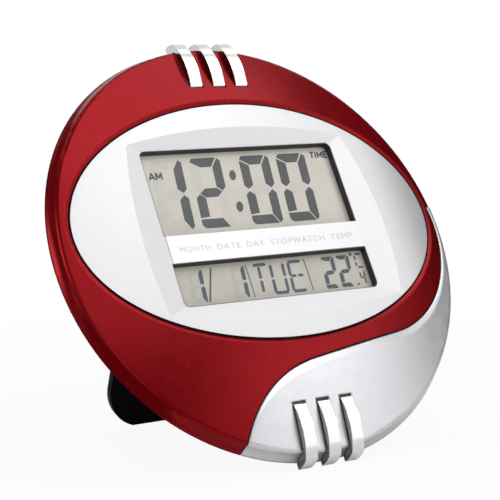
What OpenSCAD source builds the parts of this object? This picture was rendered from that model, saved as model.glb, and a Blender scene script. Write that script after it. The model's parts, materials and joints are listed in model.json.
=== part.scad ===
// Round digital wall and desk clock with a folding rear stand.
// Every piece is drawn flat, with the face looking along +Z and the middle of
// the case on the Z axis, and is then leaned back so that the clock stands on
// its lower trim fins and its stand. Sizes are in millimetres.

/* [Case] */
// Radius of the case at its rear rim
rim_r = 107.8; // [104:0.2:112]
// Depth of the side wall behind the front crease
side_depth = 7.1; // [6.6:0.1:7.6]
// Amount that the hollow side wall flares out towards the rim
side_flare = 2.4; // [2:0.1:2.8]
// Rise of the domed front above the crease
dome_rise = 11.1; // [10.7:0.1:11.5]
// Height of the top of the dome above the edge of the display window
dome_top = 8.7; // [8.4:0.1:9]
// Radius of the round between the dome and the side wall
crease_round = 2.2; // [1.6:0.1:2.8]
// Wall of the coloured front shell
case_wall = 2.6; // [2.4:0.1:2.8]
// Lean of the face back from upright, in degrees
lean = 32.2; // [30:0.2:35]

/* [Face] */
// Width of the coloured ring beside the ends of the oval
ring_side = 6.9; // [6.3:0.1:7.5]
// Half height of the oval face plate
oval_b = 61.6; // [60.2:0.2:62.8]
// Height of the face above the middle of the case
face_up = 9.5; // [8.5:0.1:10.3]
// Step from the dome down to the face plate
plate_drop = 0.6; // [0.5:0.1:0.8]
// Thickness of the face plate
plate_t = 2; // [1.8:0.1:2.2]
// Width of the rolled lip round the oval
lip_w = 3; // [2.4:0.1:3.4]
// Slope of the rolled lip at the ends of the oval, in degrees
lip_a = 19; // [16:1:22]
// Width of the display window
window_w = 108; // [100:0.5:109]
// Height of the display window
window_h = 78.6; // [75:0.1:79.2]
// Height of the upper display opening
upper_h = 43.3; // [40:0.1:44]
// Height of the bar between the two openings
bar_h = 14.4; // [12:0.1:16]
// Radius of the window corners
window_corner = 2.6; // [1.5:0.1:4]
// Slope of the side bevels of the window, in degrees
bevel_side = 14.5; // [13.5:0.5:16]
// Slope of the upper bevel of the window, in degrees
bevel_top = 28; // [26:0.5:30]
// Slope of the lower bevel of the window, in degrees
bevel_low = 28.5; // [26.5:0.5:30.5]
// Thickness of the face plate at the edge of the window
edge_t = 0.8; // [0.7:0.05:1]
// Thickness of the label strip on the bar
label_t = 0.6; // [0.4:0.05:0.7]

/* [Cheek] */
// Depth that the silver cheek panel sinks into the front shell
cheek_sink = 1.8; // [1.6:0.1:2]
// Height that the cheek panel stands proud of the dome
cheek_proud = 0.5; // [0.3:0.1:0.7]
// Thickness of the bed under the cheek panel
bed_t = 2; // [1.8:0.1:2.4]
// Radius of the lower sweep of the cheek edge
sweep_low_r = 56.7; // [54.7:0.2:57.7]
// Radius of the upper sweep of the cheek edge
sweep_high_r = 56.4; // [55.4:0.1:57]
// Width of the bevelled band along the cheek edge
band_w = 4; // [3:0.2:5]
// Slope of the bevelled band, in degrees
band_a = 14; // [12:0.5:16]

/* [Fins] */
// Width of one trim fin
fin_w = 6.6; // [6:0.1:7.2]
// Spacing of the trim fins
fin_pitch = 12.9; // [12:0.1:14]
// Length of a fin from its inner end to the rim
fin_l = 26.2; // [25.2:0.2:27.2]
// Distance that a fin stands out from the rim
fin_out = 2; // [1.6:0.1:2.4]
// Depth that a fin is let into the surface under it
fin_sink = 0.8; // [0.6:0.1:1]

/* [Display] */
// Depth of the display glass behind the edge of the window
window_depth = 3.9; // [3.4:0.1:4.2]
// Thickness of a display glass
glass_t = 2.2; // [1.8:0.1:2.4]
// Overlap of the frame on a display glass
glass_lap = 1.4; // [1:0.1:1.6]
// Thickness of the circuit board
board_t = 1.6; // [1.2:0.1:1.8]
// Height of the contact strips between glass and board
strip_h = 2.5; // [2.2:0.1:2.8]

/* [Rear cover] */
// Depth of the rear cover behind the rim
rear_depth = 13.7; // [13.4:0.1:14.4]
// Wall of the rear cover
rear_wall = 2.2; // [2:0.1:2.4]
// Distance of the edge of the flat back from the rim
rear_in = 13; // [12.4:0.1:13.6]
// Height of the spigot that enters the front shell
spigot_h = 3.2; // [2.6:0.1:3.4]
// Diameter of the round entry of the keyhole
keyhole_d = 9; // [8:0.2:10]
// Width of the slot of the keyhole
keyhole_slot = 4; // [3.4:0.1:4.2]
// Height of the keyhole above the middle of the case
keyhole_up = 40; // [39:0.2:41]

/* [Batteries] */
// Diameter of a cell
cell_d = 14.2; // [13.8:0.1:14.3]
// Length of a cell without its tip
cell_l = 49; // [48:0.1:49.2]
// Thickness of the battery door
door_t = 1.8; // [1.6:0.1:2]

/* [Buttons] */
// Diameter of a button cap
key_d = 7; // [6.4:0.1:7.6]
// Height of a button above the back
key_out = 1.3; // [1.2:0.1:1.6]
// Travel of a button
key_travel = 1; // [0.8:0.1:1.1]
// Spacing of the buttons
key_pitch = 15; // [13:0.2:15.4]

/* [Stand] */
// Width of the stand
leg_w = 111; // [106:0.5:113]
// Thickness of the stand
leg_t = 3.8; // [3.6:0.1:4]
// Radius of the foot corners of the stand
leg_corner = 24; // [20:0.5:27]
// Angle between the open stand and the back, in degrees
leg_open = 51; // [49:0.5:53]
// Height of the hinge pin above the middle of the case
pivot_up = 19.7; // [18.5:0.1:20.5]
// Diameter of the hinge pin
pin_d = 2.6; // [2.4:0.1:2.8]

/* [Fits] */
// Gap between curved pieces that are seated on each other
seat_gap = 0.1; // [0.08:0.01:0.15]
// Gap at a visible parting line
part_gap = 0.3; // [0.2:0.05:0.4]
// Gap round a piece that moves
run_gap = 0.4; // [0.3:0.05:0.5]

/* [Hidden] */

$fn = 96;
ball_fn = 256;
dome_fn = 720;
far = 300;

// Colours as photographed
red = [0.62, 0.06, 0.09];
silver = [0.82, 0.82, 0.84];
white = [0.95, 0.95, 0.96];
chrome = [0.9, 0.9, 0.92];
black = [0.06, 0.06, 0.06];
dark = [0.13, 0.13, 0.14];
lcd = [0.78, 0.77, 0.72];
green = [0.1, 0.35, 0.2];
steel = [0.7, 0.7, 0.72];

// The case: a hollow side wall that flares to the rim, under a spherical dome
crease_r = rim_r - side_flare;
crease_z = dome_top - dome_rise;
rim_z = crease_z - side_depth;
dome_r = (crease_r * crease_r + dome_rise * dome_rise) / (2 * dome_rise);
dome_c = dome_top - dome_r;
cove_r = (side_depth * side_depth + side_flare * side_flare) / (2 * side_flare);
cove_c = [crease_r + cove_r, crease_z];
round_lap = 0.01;
function dome_z(r, d = 0) = dome_c + sqrt((dome_r + d) * (dome_r + d) - r * r);
function side_r(z) = cove_c[0] - sqrt(cove_r * cove_r - (z - crease_z) * (z - crease_z));

// The oval face plate and its lip
oval_a = crease_r - ring_side;
lip_aa = oval_a + lip_w;
lip_bb = oval_b + lip_w;
lip_k = tan(lip_a) * lip_aa / 2;
bowl_cx = lip_k / (lip_aa * lip_aa) - 1 / (2 * dome_r);
bowl_cy = lip_k / (lip_bb * lip_bb) - 1 / (2 * dome_r);
bowl_y = face_up * lip_k / (lip_bb * lip_bb) / bowl_cy;
bowl_z = dome_top - lip_k + face_up * face_up * lip_k / (lip_bb * lip_bb) - bowl_cy * bowl_y * bowl_y;
bowl_r = 4 * rim_r;
flange_out = 2.4;
flange_t = 1.4;
skirt_t = 2;

// The window
lower_h = window_h - upper_h - bar_h;
upper_y = face_up + window_h / 2 - upper_h / 2;
lower_y = face_up - window_h / 2 + lower_h / 2;
bar_y = face_up + window_h / 2 - upper_h - bar_h / 2;
label_w = window_w - 2 * part_gap;
liner_t = 0.35;
liner_gap = 0.05;
opening_grow = liner_t + liner_gap;

// The cheek edge: two tangent sweeps and a straight run, in a frame turned along the run
sweep_low = [9.3, -rim_r - 11.2];
sweep_high = [rim_r - 61.9, 1.1];
notch_a = 5.8;
sweep_d = sweep_high - sweep_low;
run_a = atan2(sweep_d[1], sweep_d[0]) + acos((sweep_low_r + sweep_high_r) / norm(sweep_d)) - 90;
run_l = sqrt(sweep_d * sweep_d - (sweep_low_r + sweep_high_r) * (sweep_low_r + sweep_high_r));
run_n = [-sin(run_a), cos(run_a)];
band_low_c = sweep_low + [-0.85, -0.4] * band_w;
band_low_r = sweep_low_r - 0.73 * band_w;
band_high_c = sweep_high + [-0.38, -0.3] * band_w;
band_high_r = sweep_high_r + 0.75 * band_w;
bed_lap = 2.5;

// The fins
fin_round = 16;
fin_arc = 30;
fin_step = -0.2;
fin_run = 9;
fin_base_up = 0.3;
fin_base_z = rim_z + fin_base_up;
fin_tip_r = rim_r + fin_out - fin_round + sqrt(fin_round * fin_round - fin_base_up * fin_base_up);
peg_w = 4.4;
peg_l = 4;
peg_in = 8;
fin_in = rim_r - fin_l;
peg_r = fin_in + peg_in;
peg_h = 3;

// The display stack behind the window
frame_t = window_depth + glass_t;
frame_h = window_h + 2 * glass_lap + 2;
glass_w = window_w + 2 * glass_lap;
glass_gap = 0.15;
post_d = 5;
post_x = glass_w / 2 + glass_gap + post_d / 2 + part_gap;
frame_w = 2 * post_x + post_d + 1.4;
strip_w = 3;
strip_in = 4;
board_z = -frame_t - strip_h;
board_w = frame_w + 2;
board_h = frame_h - 4;
post_y = board_h / 2 - 3.4;
screw_d = 2;
head_d = 4;
head_h = 1.4;

// The rear cover
back_z = rim_z - rear_depth;
inner_z = back_z + rear_wall;
flat_r = rim_r - rear_in;
rear_r = rim_r - 1.4;
spigot_r = side_r(rim_z + spigot_h) - case_wall - part_gap;
boss_d = 8;
boss_z = -14;
boss_r = rim_r - 19;
boss_at = [for (a = [54, 126, -44, -136]) boss_r * [cos(a), sin(a)]];

// The battery bay
cell_gap = 0.5;
cell_pitch = cell_d + cell_gap;
tip_l = 1.4;
tip_d = 5.4;
spring_l = 3.2;
plate_s = 0.5;
bay_l = cell_l + tip_l + spring_l + 2 * plate_s + 2 * seat_gap;
bay_h = 2 * cell_d + 2 * cell_gap;
bay_wall = 1.5;
bay_gap = 1.8;
bay_y = face_up + frame_h / 2 + bay_gap + bay_wall + bay_h / 2;
bay_z = back_z + door_t + 0.2 + cell_d + 0.2;
cell_z = back_z + door_t + 0.2 + cell_d / 2;
door_w = bay_l + 3;
door_h = bay_h + 1.6;

// The stand and its hinge
barrel_r = 2.8;
pivot_z = back_z + barrel_r;
heel_l = 6;
heel_w = 60;
leg_low = leg_t / 2 + 0.1;
leg_high = leg_t - leg_low;
recess_gap = 0.6;
recess_w = leg_w + 2 * recess_gap;
floor_z = -fin_tip_r * cos(lean) + rim_z * sin(lean);
leg_reach = (pivot_up * cos(lean) + pivot_z * sin(lean) - floor_z) / cos(leg_open - lean);
recess_z = pivot_z + leg_high + run_gap;
heel_r = sqrt(heel_l * heel_l + leg_high * leg_high);
pocket_z = pivot_z + heel_r * sin(leg_open + atan2(leg_high, heel_l)) + seat_gap;
pocket_y = pivot_up - 9;
pocket_h = 9 + heel_r + run_gap;
foot_spare = 0.8;
tray_t = 1.9;
lug_w = 6;
lug_h = 10;
pin_l = recess_w + 2 * lug_w - 2;

// The alarm sounder and the buttons, on either side of the stand
beside = recess_w / 2 + lug_w + 1;
buzzer_d = 22;
buzzer_h = 4;
buzzer_at = [beside + buzzer_d / 2, 10];
key_board_w = 20;
key_x = -beside - key_board_w / 2;
key_y = 6;

// The middle of the footprint
front_y = (rim_r + fin_out - fin_round) * sin(lean) + fin_base_z * cos(lean) + fin_round;
rear_y = flat_r * sin(lean) - back_z * cos(lean);
shift_y = (front_y - rear_y) / 2;

// Leans a flat piece back and stands it on the floor
module stood() { translate([0, shift_y, -floor_z]) rotate([90 - lean, 0, 0]) children(); }

// The solid under the dome, moved out by d
module ball(d) { translate([0, 0, dome_c]) sphere(r = dome_r + d, $fn = ball_fn); }

// Middle of the round of radius f where the dome, moved out by d, meets the side wall, moved out by s
function crease_c(d, s, f) =
    let (p = dome_r + d - f, q = cove_r - s + f, v = cove_c - [0, dome_c],
        a = (p * p - q * q + v * v) / (2 * norm(v)), h = sqrt(p * p - a * a))
    [0, dome_c] + (a * v + h * [-v[1], v[0]]) / norm(v);

// Half section of the case from z0 up, with its dome moved out by d, its side wall by s, and edge points
module case_section(d, s, z0, edge) {
    difference() {
        intersection() {
            translate([0, dome_c]) circle(r = dome_r + d, $fn = dome_fn);
            polygon(concat([[0, z0], [cove_c[0], z0], cove_c], edge, [[0, dome_top + rim_r / 4]]));
        }
        translate(cove_c) circle(r = cove_r - s);
    }
}

// The outer form of the case, with a round crease that laps a hair over its neighbours
module case_body(d, s, z0) {
    f = crease_round + s;
    c = crease_c(d, s, f);
    rotate_extrude($fn = ball_fn) {
        case_section(d, s, z0, [c, c + 2 * f * (c - [0, dome_c]) / norm(c - [0, dome_c])]);
        translate(c) circle(r = f + round_lap);
    }
}

// The inner form of the case, with a sharp crease
module case_core(d, s, z0) { rotate_extrude($fn = ball_fn) case_section(d, s, z0, []); }

// An upright oval prism, grown by g, made of two halves
module oval(g) {
    for (s = [0, 1]) mirror([s, 0, 0]) intersection() {
        translate([0, face_up, -far / 4]) scale([(oval_a + g) / (oval_b + g), 1, 1])
            cylinder(h = far / 2, r = oval_b + g, $fn = ball_fn);
        translate([0, -far / 2, -far / 2]) cube([far, far, far]);
    }
}

// The bowl that rolls the lip of the shell in towards the oval
module lip_bowl() {
    ax = sqrt(bowl_r / (2 * bowl_cx));
    by = sqrt(bowl_r / (2 * bowl_cy));
    translate([0, bowl_y, bowl_z + bowl_r]) scale([ax / bowl_r, by / bowl_r, 1]) sphere(r = bowl_r, $fn = ball_fn);
}

// Rounded rectangle on its middle
module soft_rect(w, h, r) {
    square([w - 2 * r, h], center = true);
    square([w, h - 2 * r], center = true);
    for (x = [-1, 1], y = [-1, 1]) translate([x * (w / 2 - r), y * (h / 2 - r)]) circle(r = r, $fn = 48);
}

// The two openings of the window, grown by g
module window_plan(g) {
    difference() {
        translate([0, face_up]) soft_rect(window_w + 2 * g, window_h + 2 * g, window_corner + g);
        translate([0, bar_y]) square([window_w + 20, bar_h - 2 * g], center = true);
    }
}

// Section across the bevels of the window, lowered by d, from z0 up, with slopes a and b
module bevel_section(half, a, b, d, z0) {
    top = dome_top + 1;
    polygon([[-half - (z0 + d) / tan(a), z0], [half + (z0 + d) / tan(b), z0],
        [half + (top + d) / tan(b), top], [-half - (top + d) / tan(a), top]]);
}

// The space above the four bevels
module bevel_space(d, z0) {
    intersection() {
        translate([0, far / 2, 0]) rotate([90, 0, 0]) linear_extrude(height = far)
            bevel_section(window_w / 2, bevel_side, bevel_side, d, z0);
        translate([-far / 2, face_up, 0]) rotate([90, 0, 90]) linear_extrude(height = far)
            bevel_section(window_h / 2, bevel_low, bevel_top, d, z0 - 1);
    }
}

// The frame of the straight run of the cheek edge
module run_frame() { translate(sweep_low) rotate([0, 0, run_a]) children(); }

// Parts of the plan on either side of the straight run: 0 below it, 1 along it, 2 above it
module run_zone(i) {
    x0 = [-far, 0, run_l][i];
    w = [far, run_l, far][i];
    translate([x0, -far]) square([w, 2 * far]);
}

// The plan of the cheek, drawn in by g
module cheek_plan(g) {
    intersection() {
        run_frame() {
            intersection() { circle(r = sweep_low_r - g); run_zone(0); }
            translate([0, -far]) square([run_l, far + sweep_low_r - g]);
            difference() {
                run_zone(2);
                translate([run_l, sweep_low_r + sweep_high_r]) circle(r = sweep_high_r + g);
            }
        }
        rotate([0, 0, notch_a]) translate([-far, -2 * far - g]) square([2 * far, 2 * far]);
    }
}

module cheek_block(g) { translate([0, 0, -far / 4]) linear_extrude(height = far / 2) cheek_plan(g); }

module zone_block(i) { translate([0, 0, -far / 4]) linear_extrude(height = far / 2) run_frame() run_zone(i); }

// Balls that bevel the cheek along its edge
cheek_r = dome_r + cheek_proud;
module on_dome(c, out) {
    u = [c[0], c[1], sqrt(cheek_r * cheek_r - c * c)] / cheek_r;
    translate([0, 0, dome_c] + u * out) children();
}

module band_low_ball() {
    a = asin(band_low_r / cheek_r);
    r = band_low_r / sin(a + band_a);
    on_dome(band_low_c, cheek_r * cos(a) - r * cos(a + band_a)) sphere(r = r, $fn = ball_fn);
}

module band_high_ball() {
    a = asin(band_high_r / cheek_r);
    r = band_high_r / sin(band_a - a);
    on_dome(band_high_c, cheek_r * cos(a) + r * cos(band_a - a)) sphere(r = r, $fn = ball_fn);
}

module band_run_ball() {
    p = run_n * sweep_low + sweep_low_r - band_w;
    th = band_a - asin(-p / cheek_r);
    r = sqrt(cheek_r * cheek_r - p * p) / cos(th);
    translate([run_n[0], run_n[1], 0] * (p - r * sin(th)) + [0, 0, dome_c]) sphere(r = r, $fn = ball_fn);
}

// Places for the three fins at the top or, mirrored, at the bottom
module fin_place(i, low) { mirror([0, low ? 1 : 0, 0]) translate([i * fin_pitch, 0, 0]) children(); }

// Rise above the dome of the surface that a fin lies on
function fin_lift(low) = low ? cheek_proud : 0;

// Side view of a fin
module fin_profile(low) {
    top = dome_z(fin_in) + fin_lift(low) + fin_step;
    intersection() {
        translate([fin_in + fin_run, top - sqrt(fin_arc * fin_arc - fin_run * fin_run)]) circle(r = fin_arc);
        translate([rim_r + fin_out - fin_round, fin_base_z]) circle(r = fin_round);
        translate([fin_in, rim_z]) square([rim_r, rim_r]);
    }
}

module fin_peg(grow) {
    translate([-peg_w / 2 - grow, peg_r - grow, dome_z(peg_r) - case_wall - peg_h])
        cube([peg_w + 2 * grow, peg_l + 2 * grow, case_wall + peg_h + 2]);
}

// The body that a fin lies on, raised by g
module fin_seat(low, g) { case_body(fin_lift(low) - fin_sink + g, g - fin_sink, rim_z - 1); }

// Shallow groove round a fin
module fin_groove(low) {
    difference() {
        translate([-fin_w / 2 - part_gap, fin_in - part_gap, rim_z - 1])
            cube([fin_w + 2 * part_gap, rim_r, dome_top - rim_z]);
        fin_seat(low, 0);
    }
}

module fin(i, low) {
    color(chrome) stood() fin_place(i, low) {
        difference() {
            rotate([90, 0, 90]) translate([0, 0, -fin_w / 2]) linear_extrude(height = fin_w) fin_profile(low);
            fin_seat(low, seat_gap);
        }
        intersection() {
            fin_peg(0);
            fin_seat(low, 1);
        }
    }
}

// Round post that reaches up into a wall under the dome
module shell_post(p, z0, d) { translate([p[0], p[1], z0]) cylinder(h = dome_top - z0, d = d); }

// Coloured front shell with the bed for the cheek panel
module front_shell() {
    color(red) stood() {
        difference() {
            union() {
                difference() {
                    case_body(0, 0, rim_z);
                    case_core(-case_wall, -case_wall, rim_z - 1);
                    cheek_block(0);
                    lip_bowl();
                }
                intersection() {
                    difference() {
                        case_core(-cheek_sink, -cheek_sink, rim_z);
                        case_core(-cheek_sink - bed_t, -case_wall - seat_gap, rim_z - 1);
                        oval(flange_out + part_gap);
                    }
                    cheek_block(-bed_lap);
                }
                intersection() {
                    for (p = boss_at) shell_post(p, boss_z, boss_d);
                    case_core(-(cheek_sink + case_wall) / 2, -case_wall, boss_z - 1);
                }
            }
            oval(part_gap);
            for (i = [-1:1], low = [false, true]) fin_place(i, low) fin_peg(seat_gap);
            for (i = [-1:1]) fin_place(i, false) fin_groove(false);
            for (p = boss_at) translate([p[0], p[1], boss_z - 1]) cylinder(h = 10, d = screw_d);
        }
    }
}

// Silver cheek panel on its bed
module cheek_panel() {
    color(silver) stood() difference() {
        intersection() {
            difference() {
                case_body(cheek_proud, 0, rim_z);
                case_core(seat_gap - cheek_sink, seat_gap - cheek_sink, rim_z - 1);
            }
            cheek_block(part_gap);
            union() {
                intersection() { band_low_ball(); zone_block(0); }
                intersection() { band_run_ball(); zone_block(1); }
                difference() { zone_block(2); band_high_ball(); }
            }
        }
        for (i = [-1:1]) fin_place(i, true) {
            fin_peg(seat_gap);
            fin_groove(true);
        }
    }
}

// Oval face plate with the bevelled window
module face_plate() {
    under = case_wall + seat_gap;
    color(white) stood() difference() {
        union() {
            intersection() { ball(-plate_drop); oval(0); }
            intersection() {
                ball(-under);
                oval(flange_out);
                cylinder(h = far, r = crease_r - case_wall - part_gap, center = true);
            }
        }
        difference() {
            union() {
                ball(-under - flange_t);
                intersection() { ball(-plate_drop - plate_t); oval(-skirt_t); }
            }
            bevel_space(plate_t, -edge_t);
        }
        bevel_space(0, 0);
        translate([0, 0, -far / 4]) linear_extrude(height = far / 2) window_plan(opening_grow);
    }
}

// Flat strip on the bar between the openings
module label_strip() {
    h = bar_h - 2 * opening_grow;
    color(white) stood() translate([-label_w / 2, bar_y - h / 2, 0]) cube([label_w, h, label_t]);
}

// Places of the four posts between frame and board
module post_place() { for (x = [-1, 1], y = [-1, 1]) translate([x * post_x, face_up + y * post_y, 0]) children(); }

// A rectangle that takes one display glass
module glass_plan(y, h, g) { translate([0, y]) square([glass_w + 2 * g, h + 2 * glass_lap + 2 * g], center = true); }

// Black frame that lines the window and holds both display glasses
module display_frame() {
    color(black) stood() difference() {
        union() {
            translate([0, face_up, -frame_t]) linear_extrude(height = frame_t - edge_t - seat_gap)
                square([frame_w, frame_h], center = true);
            translate([0, 0, -edge_t - seat_gap - 1]) linear_extrude(height = edge_t + seat_gap + 0.8) window_plan(liner_t);
            post_place() translate([0, 0, board_z]) cylinder(h = strip_h + 1, d = post_d);
        }
        translate([0, 0, -far / 4]) linear_extrude(height = far / 2) window_plan(0);
        translate([0, 0, -frame_t - strip_h - 1]) linear_extrude(height = glass_t + strip_h + 1) {
            glass_plan(upper_y, upper_h, glass_gap);
            glass_plan(lower_y, lower_h, glass_gap);
        }
        post_place() translate([0, 0, board_z - 1]) cylinder(h = strip_h + 3, d = screw_d);
    }
}

module glass(y, h) { translate([0, 0, -frame_t]) linear_extrude(height = glass_t) glass_plan(y, h, 0); }

module time_glass() { color(lcd) stood() glass(upper_y, upper_h); }

module date_glass() { color(lcd) stood() glass(lower_y, lower_h); }

// Rubber strips that join the edges of the glasses to the board
module contact_strip(y) {
    color([0.35, 0.35, 0.37]) stood() translate([strip_in - window_w / 2, y - strip_w / 2, board_z])
        cube([window_w - 2 * strip_in, strip_w, strip_h]);
}

module contact_strip_upper() { contact_strip(upper_y + upper_h / 2 - strip_w / 2); }

module contact_strip_lower() { contact_strip(lower_y - lower_h / 2 + strip_w / 2); }

module main_board() {
    color(green) stood() difference() {
        translate([-board_w / 2, face_up - board_h / 2, board_z - board_t]) cube([board_w, board_h, board_t]);
        post_place() translate([0, 0, board_z - board_t - 1]) cylinder(h = board_t + 2, d = screw_d);
    }
}

// Rear face of the board, for the pieces on it
module on_board(x, y) { translate([x, y, board_z - board_t]) children(); }

module main_chip() {
    color(black) stood() on_board(-20, -8) intersection() {
        translate([0, 0, 10]) sphere(r = 12);
        translate([-8, -8, -3]) cube([16, 16, 3]);
    }
}

module crystal() { color(steel) stood() on_board(18, -6) translate([0, 0, -3]) cylinder(h = 3, d = 3); }

module sensor() {
    color(black) stood() on_board(48, -8) {
        translate([-1.5, -1.5, -1.2]) cube([3, 3, 1.2]);
        translate([0, 0, -2]) cylinder(h = 1, d = 2.4);
    }
}

// Pan-head screw, its head under z = 0 and its shank upwards
module screw(l) {
    translate([0, 0, -head_h]) cylinder(h = head_h, d = head_d);
    cylinder(h = l, d = screw_d - 2 * seat_gap);
}

module board_screws() { color(steel) stood() post_place() translate([0, 0, board_z - board_t]) screw(board_t + strip_h); }

// Board behind the buttons
key_board_z = back_z + 8.4;
key_board_l = 3 * key_pitch + 22;
module key_place(i) { translate([key_x, key_y + (1.5 - i) * key_pitch, 0]) children(); }

module key_post_place() {
    for (s = [-1, 1]) translate([key_x, key_y + s * (key_board_l / 2 - 3.5), 0]) children();
}

module key_board() {
    color(green) stood() difference() {
        translate([key_x - key_board_w / 2, key_y - key_board_l / 2, key_board_z]) cube([key_board_w, key_board_l, board_t]);
        key_post_place() translate([0, 0, key_board_z - 1]) cylinder(h = board_t + 2, d = screw_d);
    }
}

key_flange_t = 1.2;
switch_w = 6;
stem_d = 3.2;
key_screw_l = 4;
key_top = inner_z + run_gap / 2 + key_flange_t;
module key_switches() {
    stem_z = key_top + key_travel + run_gap / 2;
    color(black) stood() for (i = [0:3]) key_place(i) {
        translate([-switch_w / 2, -switch_w / 2, stem_z + 1]) cube([switch_w, switch_w, key_board_z - stem_z - 1]);
        translate([0, 0, stem_z]) cylinder(h = 1.5, d = stem_d);
    }
}

module key_board_screws() {
    color(steel) stood() key_post_place() translate([0, 0, key_board_z + board_t]) mirror([0, 0, 1]) screw(board_t + key_screw_l);
}

// Sprung cap with a flange inside the cover
module button(i) {
    color([0.45, 0.45, 0.47]) stood() key_place(i) {
        translate([0, 0, back_z - key_out]) cylinder(h = key_top - back_z + key_out, d = key_d);
        translate([0, 0, key_top - key_flange_t]) cylinder(h = key_flange_t, d = key_d + 3);
    }
}

module button_1() { button(0); }
module button_2() { button(1); }
module button_3() { button(2); }
module button_4() { button(3); }

module buzzer() {
    color(black) stood() translate([buzzer_at[0], buzzer_at[1], inner_z]) difference() {
        cylinder(h = buzzer_h, d = buzzer_d);
        translate([0, 0, -1]) cylinder(h = 3, d = buzzer_d - 4);
    }
}

module top_fin_left() { fin(-1, false); }
module top_fin_middle() { fin(0, false); }
module top_fin_right() { fin(1, false); }
module low_fin_left() { fin(-1, true); }
module low_fin_middle() { fin(0, true); }
module low_fin_right() { fin(1, true); }

// The hinge frame of the stand, turned by a from folded
module hinge(a) { translate([0, pivot_up, pivot_z]) rotate([a, 0, 0]) children(); }

// Plan of the folded stand below its hinge
module leg_plan() {
    w = leg_w / 2;
    r = leg_corner;
    low = -leg_reach - foot_spare;
    translate([-w, low + r]) square([leg_w, -low - r]);
    translate([r - w, low]) square([leg_w - 2 * r, r + 1]);
    for (s = [-1, 1]) translate([s * (w - r), low + r]) circle(r = r);
}

// Recess of the folded stand, open at the foot, and the pocket for its heel, grown by g
module leg_recess(g, z0) {
    translate([-recess_w / 2 - g, -rim_r, z0]) cube([recess_w + 2 * g, rim_r + pivot_up, recess_z + g - z0]);
    translate([-recess_w / 2 - g, pocket_y - g, z0]) cube([recess_w + 2 * g, pocket_h + 2 * g, pocket_z + g - z0]);
}

// Box that holds both cells, grown by g
module bay_box(g, z0, z1) {
    translate([-bay_l / 2 - g, bay_y - bay_h / 2 - g, z0]) cube([bay_l + 2 * g, bay_h + 2 * g, z1 - z0]);
}

// Rear cover with the stand recess, battery bay, keyhole and button holes
module rear_cover() {
    color(dark) stood() difference() {
        union() {
            rotate_extrude() polygon([[0, back_z], [flat_r, back_z], [flat_r + 2.5, back_z + 2.5],
                [rear_r, rim_z - 1], [rear_r, rim_z], [spigot_r, rim_z], [spigot_r, rim_z + spigot_h],
                [spigot_r - rear_wall, rim_z + spigot_h], [spigot_r - rear_wall, rim_z - 2],
                [flat_r + 0.6, inner_z + 1.2], [flat_r - 0.8, inner_z], [0, inner_z]]);
            intersection() {
                rotate_extrude() polygon([[0, back_z], [flat_r, back_z], [flat_r + 2.5, back_z + 2.5],
                    [rear_r, rim_z - 1], [0, rim_z - 1]]);
                union() {
                    leg_recess(tray_t, back_z);
                    translate([-recess_w / 2 - lug_w, pivot_up - lug_h / 2, back_z])
                        cube([recess_w + 2 * lug_w, lug_h, 2 * barrel_r + 1]);
                }
            }
            bay_box(bay_wall, back_z, bay_z + bay_wall);
            translate([0, keyhole_up + 2, back_z]) cylinder(h = rear_wall + 6, d = keyhole_d + 9);
            for (p = boss_at) translate([p[0], p[1], back_z]) cylinder(h = boss_z - back_z, d = boss_d);
            key_post_place() translate([0, 0, back_z]) cylinder(h = key_board_z - back_z, d = post_d);
        }
        // stand recess and the bore for its hinge pin
        leg_recess(0, back_z - 1);
        hinge(0) rotate([0, 90, 0]) cylinder(h = pin_l + 2 * seat_gap, d = pin_d, center = true);
        // battery bay and the seat of its door
        bay_box(0, back_z - 1, bay_z);
        translate([-door_w / 2 - run_gap, bay_y - door_h / 2 - run_gap, back_z - 1])
            cube([door_w + 2 * run_gap, door_h + 2 * run_gap, door_t + 1 + 0.1]);
        // keyhole and the room for a screw head behind it
        translate([0, keyhole_up, back_z - 1]) cylinder(h = rear_wall + 2, d = keyhole_d);
        translate([-keyhole_slot / 2, keyhole_up, back_z - 1]) cube([keyhole_slot, keyhole_d / 2 + 4, rear_wall + 2]);
        translate([0, keyhole_up + 2, inner_z]) cylinder(h = 4.6, d = keyhole_d + 6.4);
        // buttons, sound holes and case screws
        for (i = [0:3]) key_place(i) translate([0, 0, back_z - 1]) cylinder(h = rear_wall + 2, d = key_d + 2 * run_gap);
        for (a = [0:60:300]) translate([buzzer_at[0] + 5 * cos(a), buzzer_at[1] + 5 * sin(a), back_z - 1])
            cylinder(h = rear_wall + 2, d = 1.8);
        for (p = boss_at) translate([p[0], p[1], back_z - 1]) {
            cylinder(h = 30, d = screw_d + 2 * part_gap);
            cylinder(h = 4, d = head_d + 2 * part_gap);
        }
        key_post_place() translate([0, 0, inner_z]) cylinder(h = 20, d = screw_d);
    }
}

module case_screws() {
    color(steel) stood() for (p = boss_at) translate([p[0], p[1], back_z + 3]) screw(boss_z - back_z + 2);
}

module battery_door() {
    color(dark) stood() difference() {
        translate([-door_w / 2, bay_y - door_h / 2, back_z]) cube([door_w, door_h, door_t]);
        for (i = [0:4]) translate([-9, bay_y + door_h / 2 - 4 - 2.2 * i, back_z - 0.1]) cube([18, 1, 0.7]);
    }
}

module cell() {
    rotate([0, 90, 0]) {
        cylinder(h = cell_l, d = cell_d, center = true);
        translate([0, 0, cell_l / 2]) cylinder(h = tip_l, d = tip_d);
    }
}

cell_x = bay_l / 2 - plate_s - seat_gap - tip_l - cell_l / 2;
module cell_upper() {
    color([0.3, 0.3, 0.32]) stood() translate([cell_x, bay_y + cell_pitch / 2, cell_z]) cell();
}

module cell_lower() {
    color([0.3, 0.3, 0.32]) stood() translate([-cell_x, bay_y - cell_pitch / 2, cell_z]) rotate([0, 0, 180]) cell();
}

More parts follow.
